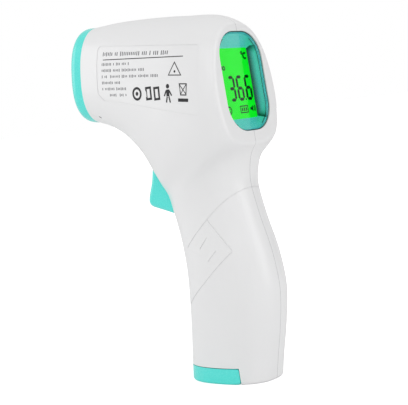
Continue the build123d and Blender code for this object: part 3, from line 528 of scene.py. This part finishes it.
def word_line(work, start, end, height, pitch, seed):
    """Lays one row of blocks on the plate from start to end, both x and z in mm."""
    begin, finish = Vector(start), Vector(end)
    holder = bpy.data.objects.new("word_line", bpy.data.meshes.new("word_line"))
    bpy.context.scene.collection.objects.link(holder)
    build = holder.modifiers.new("row", "NODES")
    build.node_group = WORD_LINE
    for name, value in (("Length", (finish - begin).length), ("Pitch", pitch),
                        ("Mark width", MARK_SHARE * pitch), ("Mark height", height),
                        ("Depth", PRINT_DEEP), ("Gap share", GAP_SHARE), ("Seed", seed), ("Ink", ink)):
        build[LINE_KEYS[name]] = value
    bpy.context.view_layer.update()
    row = bpy.data.meshes.new_from_object(holder.evaluated_get(bpy.context.evaluated_depsgraph_get()))
    holder.modifiers.clear()
    bpy.data.objects.remove(holder)
    along = (finish - begin).normalized()
    above = Vector((-along.y, along.x))
    for v in row.vertices:
        spot = begin + along * v.co.x + above * v.co.y
        v.co = on_side(spot.x, spot.y, v.co.z)
    work.from_mesh(row)
    bpy.data.meshes.remove(row)


# A title, then rows of one pitch, each a little further left than the one above. They
# run level with the moulded field, which falls towards the back. The last is indented.
TITLE_TALL, TITLE_PITCH, TITLE_SEED = 1.9, 1.1, 4
TITLE_AT, TITLE_SPAN, TITLE_FALL = Vector((-40.6, 143.3)), 39.4, -0.102
ROW_TALL, ROW_PITCH, ROW_FALL = 1.3, 0.92, -0.09
FIRST_ROW, NEXT_ROW = Vector((-41.4, 139.0)), Vector((-0.25, -2.6))
ROW_SPANS, LAST_SPAN, LAST_INDENT = (17.8, 28.0, 35.3, 12.5, 16.0), 11.2, 4.65
ROW_SEEDS = (5, 8, 13, 21, 34, 55)

lines = bmesh.new()
word_line(lines, TITLE_AT, TITLE_AT + Vector((1, TITLE_FALL)) * TITLE_SPAN, TITLE_TALL, TITLE_PITCH, TITLE_SEED)
along_row = Vector((1, ROW_FALL))
rows = [(0.0, span) for span in ROW_SPANS] + [(LAST_INDENT, LAST_SPAN)]
for place_down, ((indent, span), seed) in enumerate(zip(rows, ROW_SEEDS)):
    start = FIRST_ROW + NEXT_ROW * place_down + along_row * indent
    word_line(lines, start, start + along_row * span, ROW_TALL, ROW_PITCH, seed)
finish_piece("plate_lines", lines, ink, "root")


def run(start, end, steps=12):
    """Points along a straight line, close enough together to follow the skin."""
    a, b = Vector(start), Vector(end)
    return [tuple(a.lerp(b, i / steps)) for i in range(steps + 1)]


LOW, HIGH = -0.02, 0.025
marks = bmesh.new()


def mark_line(points, width, closed=False):
    ribbon(marks, points, width, on_side, LOW, HIGH, closed)


def mark_patch(outline):
    plate(marks, outline, on_side, LOW, HIGH)


# the rule under the title
mark_line(run((-40.8, 140.9), (6.0, 136.9), 40), 0.36)
# a triangle round a dot
TRIANGLE = ((-1.7, 130.2), (1.75, 135.0), (4.9, 129.5))
mark_line([q for i in range(3) for q in run(TRIANGLE[i], TRIANGLE[(i + 1) % 3], 6)[:-1]], 0.4, closed=True)
mark_patch(circle((1.7, 131.3), 0.5, 12))
# a ring round a dot, and two upright frames
RING_AT = (-21.0, 124.5)
mark_line(circle(RING_AT, 2.35), 1.0, closed=True)
mark_patch(circle(RING_AT, 0.85, 12))
for middle in ((-14.0, 124.0), (-9.2, 123.5)):
    mark_line(box(middle, 1.3, 2.3), 0.95, closed=True)
# a plain standing figure: head, body, and two legs and two arms
mark_patch(circle((-2.6, 125.8), 0.95, 12))
mark_line(run((-2.7, 124.5), (-2.8, 121.7), 3), 1.7)
for top, foot in (((-3.3, 121.6), (-4.0, 119.3)), ((-2.3, 121.6), (-1.8, 119.1)),
                  ((-3.5, 124.2), (-4.9, 122.0)), ((-2.0, 124.1), (-0.7, 121.8))):
    mark_line(run(top, foot, 3), 0.7)
# a crossed box over a bar
mark_line([(4.2, 121.6), (7.0, 121.3), (7.6, 125.7), (3.9, 126.1)], 0.45, closed=True)
mark_line(run((3.9, 125.9), (7.2, 121.4), 4), 0.35)
mark_line(run((7.5, 125.6), (4.2, 121.8), 4), 0.35)
mark_line(run((2.6, 119.7), (7.9, 119.1), 6), 1.35)
finish_piece("plate_signs", marks, dark_ink, "root")
notch = bmesh.new()
ribbon(notch, run((-51.1, 117.2), (-49.9, 116.4), 2), 0.5, on_side, LOW, HIGH)
finish_piece("cap_latch_mark", notch, ink, "root")

# ------------------------------------------------------------------ metal parts
# Turned sensor block, plated screws, pins, springs and contacts, with faint tool marks
# and duller patches from handling.


def plated_group():
    """Colour and roughness of bare or plated metal."""
    group = bpy.data.node_groups.new("plated_metal", "ShaderNodeTree")
    face = group.interface
    face.new_socket("Base", in_out="INPUT", socket_type="NodeSocketColor")
    face.new_socket("Rough", in_out="INPUT", socket_type="NodeSocketFloat")
    face.new_socket("Mark size", in_out="INPUT", socket_type="NodeSocketFloat")
    face.new_socket("Colour", in_out="OUTPUT", socket_type="NodeSocketColor")
    face.new_socket("Roughness", in_out="OUTPUT", socket_type="NodeSocketFloat")
    node, link = group.nodes.new, group.links.new
    given, result = node("NodeGroupInput"), node("NodeGroupOutput")
    place, noise = node("ShaderNodeTexCoord"), node("ShaderNodeTexNoise")
    noise.inputs["Detail"].default_value = 4.0
    link(place.outputs["Object"], noise.inputs["Vector"])
    link(given.outputs["Mark size"], noise.inputs["Scale"])
    shade, tone = node("ShaderNodeMapRange"), node("ShaderNodeVectorMath")
    shade.inputs["To Min"].default_value, shade.inputs["To Max"].default_value = 0.82, 1.08
    tone.operation = "SCALE"
    link(noise.outputs["Fac"], shade.inputs["Value"])
    link(given.outputs["Base"], tone.inputs[0])
    link(shade.outputs["Result"], tone.inputs["Scale"])
    link(tone.outputs["Vector"], result.inputs["Colour"])
    dull = node("ShaderNodeMath")
    dull.operation = "MULTIPLY_ADD"
    dull.inputs[1].default_value = 0.22
    link(noise.outputs["Fac"], dull.inputs[0])
    link(given.outputs["Rough"], dull.inputs[2])
    link(dull.outputs[0], result.inputs["Roughness"])
    return group


PLATED = plated_group()


def plated(name, colour, rough, mark_size):
    material = new_material(name, rough, metallic=1.0)
    tree = material.node_tree
    finish = tree.nodes.new("ShaderNodeGroup")
    finish.node_tree = PLATED
    finish.inputs["Base"].default_value = (*colour, 1)
    finish.inputs["Rough"].default_value = rough
    finish.inputs["Mark size"].default_value = mark_size
    tree.links.new(finish.outputs["Colour"], shader(material).inputs["Base Color"])
    tree.links.new(finish.outputs["Roughness"], shader(material).inputs["Roughness"])
    return material


dress("sensor_barrel", plated("barrel_metal", (0.80, 0.80, 0.78), 0.12, 400.0))
dress("sensor_can", plated("sensor_steel", (0.70, 0.69, 0.66), 0.18, 700.0))
plated_steel = plated("steel", (0.64, 0.64, 0.65), 0.2, 900.0)
for name in ("board_screws", "trigger_pin", "trigger_spring", "key_board_screws", "door_contact",
             "door_pin", "battery_top_contacts", "case_screws"):
    dress(name, plated_steel)

# ------------------------------------------------------------------ boards and switches
# Glass fibre boards under green solder mask, black moulded chips, switches and holders,
# a striped rubber connector and red insulated wires.


def board_finish():
    """Green mask with paler tracks under it."""
    material = moulded("board_green", (0.02, 0.20, 0.09), (0.3, 0.45), 1500.0, 0.1)
    tree = material.node_tree
    place, tracks = tree.nodes.new("ShaderNodeTexCoord"), tree.nodes.new("ShaderNodeTexVoronoi")
    tracks.distance = "MANHATTAN"
    tracks.feature = "F1"
    tracks.inputs["Scale"].default_value = 420.0
    tree.links.new(place.outputs["Object"], tracks.inputs["Vector"])
    on_track = worked_out(tree, "LESS_THAN", tracks.outputs["Distance"], 0.28)
    tint_where(material, on_track, (0.09, 0.42, 0.17))
    return material


board = board_finish()
for name in ("sensor_board", "main_board", "trigger_board", "key_board"):
    dress(name, board)
black = moulded("holder_black", (0.03, 0.03, 0.032), (0.4, 0.5), 2500.0, 0.2, drift=0.2)
for name in ("sensor_holder", "trigger_switch_plunger", "mode_switch_plunger", "set_switch_plunger",
             "battery_cradle"):
    dress(name, black)
epoxy = moulded("chip_black", (0.022, 0.022, 0.025), (0.5, 0.65), 5000.0, 0.4, drift=0.2)
for name in ("board_chips", "buzzer", "trigger_switch_body", "mode_switch_body", "set_switch_body"):
    dress(name, epoxy)
dress("lcd_backlight", moulded("light_guide", (0.7, 0.9, 0.72), (0.3, 0.4), 2000.0, 0.1))
dress("zebra_strip", moulded("elastomer", (0.5, 0.2, 0.25), (0.6, 0.7), 2600.0, 0.3, drift=0.3))
red = moulded("wire_red", (0.5, 0.03, 0.03), (0.4, 0.5), 2000.0, 0.1, drift=0.15)
for name in ("sensor_wires", "battery_wires", "trigger_wires"):
    dress(name, red)

# ------------------------------------------------------------------ cells and filter
# Two small cells in shrunk plastic sleeves, dark with a bright band round one end, and
# the coated filter in the sensor's cap.
BAND_FROM = 38.0 * MM


def sleeve_finish():
    """Dark sleeve with a copper-coloured band above a set height."""
    material = moulded("cell_sleeve", (0.04, 0.05, 0.075), (0.18, 0.28), 2000.0, 0.05, coat=0.5)
    tree = material.node_tree
    in_band = worked_out(tree, "GREATER_THAN", along_axis(tree, "Z"), BAND_FROM)
    tint_where(material, in_band, (0.62, 0.30, 0.09))
    return material


sleeve = sleeve_finish()
for name in ("battery_front", "battery_rear"):
    dress(name, sleeve)
dark_filter = new_material("filter_dark", 0.08)
uneven(dark_filter, "Base Color", (0.035, 0.03, 0.05), (0.09, 0.06, 0.10), 500.0)
dress("sensor_window", dark_filter)

# ------------------------------------------------------------------ studio
# A white floor that runs into a white background, and soft panels at both sides. The
# floor and the background look brighter to the camera than the light that they give.
FLOOR_LIFT, SURROUND_LIGHT, FLOOR_HALF = 0.6, 0.77, 30.0
floor_mesh = bpy.data.meshes.new("floor")
floor_edit = bmesh.new()
bmesh.ops.create_grid(floor_edit, x_segments=1, y_segments=1, size=FLOOR_HALF)
floor_edit.to_mesh(floor_mesh)
floor_edit.free()
floor = bpy.data.objects.new("floor", floor_mesh)
bpy.context.scene.collection.objects.link(floor)
floor_paint = new_material("floor_white", 0.9)
shader(floor_paint).inputs["Base Color"].default_value = (0.9, 0.9, 0.9, 1)
shader(floor_paint).inputs["Emission Color"].default_value = (1, 1, 1, 1)
floor_seen, lift = (floor_paint.node_tree.nodes.new(n) for n in ("ShaderNodeLightPath", "ShaderNodeMath"))
lift.operation = "MULTIPLY"
lift.inputs[1].default_value = FLOOR_LIFT
floor_paint.node_tree.links.new(floor_seen.outputs["Is Camera Ray"], lift.inputs[0])
floor_paint.node_tree.links.new(lift.outputs[0], shader(floor_paint).inputs["Emission Strength"])
floor_mesh.materials.append(floor_paint)

world = bpy.data.worlds.new("studio")
world.use_nodes = True
surround = world.node_tree
surround.nodes["Background"].inputs["Color"].default_value = (0.99, 0.99, 0.99, 1)
surround.nodes["Background"].inputs["Strength"].default_value = SURROUND_LIGHT
white = surround.nodes.new("ShaderNodeBackground")
white.inputs["Color"].default_value = (1, 1, 1, 1)
seen = surround.nodes.new("ShaderNodeLightPath")
choice = surround.nodes.new("ShaderNodeMixShader")
surround.links.new(seen.outputs["Is Camera Ray"], choice.inputs["Fac"])
surround.links.new(surround.nodes["Background"].outputs[0], choice.inputs[1])
surround.links.new(white.outputs[0], choice.inputs[2])
surround.links.new(choice.outputs[0], surround.nodes["World Output"].inputs["Surface"])
bpy.context.scene.world = world
bpy.context.scene.view_settings.view_transform = "Standard"


def soft_panel(name, place, aim, size, power):
    light = bpy.data.lights.new(name, "AREA")
    light.shape = "RECTANGLE"
    light.size, light.size_y = size
    light.energy = power
    lamp = bpy.data.objects.new(name, light)
    lamp.location = place
    lamp.rotation_euler = (Vector(aim) - Vector(place)).to_track_quat("-Z", "Y").to_euler()
    bpy.context.scene.collection.objects.link(lamp)


MIDDLE = (-0.01, 0.0, 0.08)     # about the middle of the device
soft_panel("key_panel", (0.15, -0.7, 0.55), MIDDLE, (0.5, 0.5), 1.0)
soft_panel("left_panel", (-0.7, -0.3, 0.3), MIDDLE, (0.4, 0.5), 0.8)
soft_panel("rear_panel", (0.75, 0.1, 0.3), MIDDLE, (0.4, 0.6), 0.95)

# The camera stands behind the device, a little to its left.
AIM = Vector((-8.0, 0.0, 75.5)) * MM
AZIMUTH, ELEVATION, ROLL = math.radians(38.0), math.radians(4.6), math.radians(6.7)
DISTANCE = 470.0 * MM
FOCAL, SENSOR = 97.06, 36.0
back = Vector((math.sin(AZIMUTH) * math.cos(ELEVATION), -math.cos(AZIMUTH) * math.cos(ELEVATION),
               math.sin(ELEVATION)))
right = Vector((math.cos(AZIMUTH), math.sin(AZIMUTH), 0))
up = back.cross(right)
turned_right = right * math.cos(ROLL) - up * math.sin(ROLL)
turned_up = up * math.cos(ROLL) + right * math.sin(ROLL)
camera_data = bpy.data.cameras.new("camera")
camera_data.lens, camera_data.sensor_width = FOCAL, SENSOR
camera = bpy.data.objects.new("camera", camera_data)
camera.matrix_world = (Matrix.Translation(AIM + back * DISTANCE)
                       @ Matrix((turned_right, turned_up, back)).transposed().to_4x4())
camera_data.clip_start, camera_data.clip_end = 0.01, 50.0
bpy.context.scene.collection.objects.link(camera)
bpy.context.scene.camera = camera

# A narrow soft panel behind the device gives the window its straight-edged sheen.
SHEEN_LIFT, SHEEN_ACROSS = 4.5, 0.7
sheen_at = panel_front + PANEL_OUT * SHEEN_LIFT * MM + Vector((0, SHEEN_ACROSS, 0)) * MM
to_camera = (AIM + back * DISTANCE - sheen_at).normalized()
bounce = (2 * to_camera.dot(PANEL_OUT) * PANEL_OUT - to_camera).normalized()
SHEEN_FAR, SHEEN_WIDE, SHEEN_TALL, SHEEN_POWER, SHEEN_LEAN = 0.9, 0.14, 0.34, 0.075, math.radians(5.5)
level = Vector((-bounce.y, bounce.x, 0)).normalized()
upright = bounce.cross(level)
lean_side = level * math.cos(SHEEN_LEAN) - upright * math.sin(SHEEN_LEAN)
lean_up = upright * math.cos(SHEEN_LEAN) + level * math.sin(SHEEN_LEAN)
sheen_light = bpy.data.lights.new("sheen_panel", "AREA")
sheen_light.shape = "RECTANGLE"
sheen_light.size, sheen_light.size_y, sheen_light.energy = SHEEN_WIDE, SHEEN_TALL, SHEEN_POWER
sheen = bpy.data.objects.new("sheen_panel", sheen_light)
sheen.matrix_world = (Matrix.Translation(sheen_at + bounce * SHEEN_FAR - lean_side * SHEEN_WIDE / 2)
                      @ Matrix((lean_side, lean_up, bounce)).transposed().to_4x4())
bpy.context.scene.collection.objects.link(sheen)

# A black card further back keeps the rest of the window free of sheen.
CARD_FAR, CARD_HALF = 1.3, 0.55
card_mesh = bpy.data.meshes.new("black_card")
card_middle = sheen_at + bounce * CARD_FAR
card_mesh.from_pydata([card_middle + level * a + upright * b for a, b in (
    (-CARD_HALF, -CARD_HALF), (CARD_HALF, -CARD_HALF), (CARD_HALF, CARD_HALF), (-CARD_HALF, CARD_HALF))],
    [], [(0, 1, 2, 3)])
card_paint = new_material("card_black", 1.0)
shader(card_paint).inputs["Base Color"].default_value = (0, 0, 0, 1)
shader(card_paint).inputs["Specular IOR Level"].default_value = 0.0
card_mesh.materials.append(card_paint)
card = bpy.data.objects.new("black_card", card_mesh)
card.visible_camera = False
card.visible_diffuse = False
card.visible_shadow = False
bpy.context.scene.collection.objects.link(card)
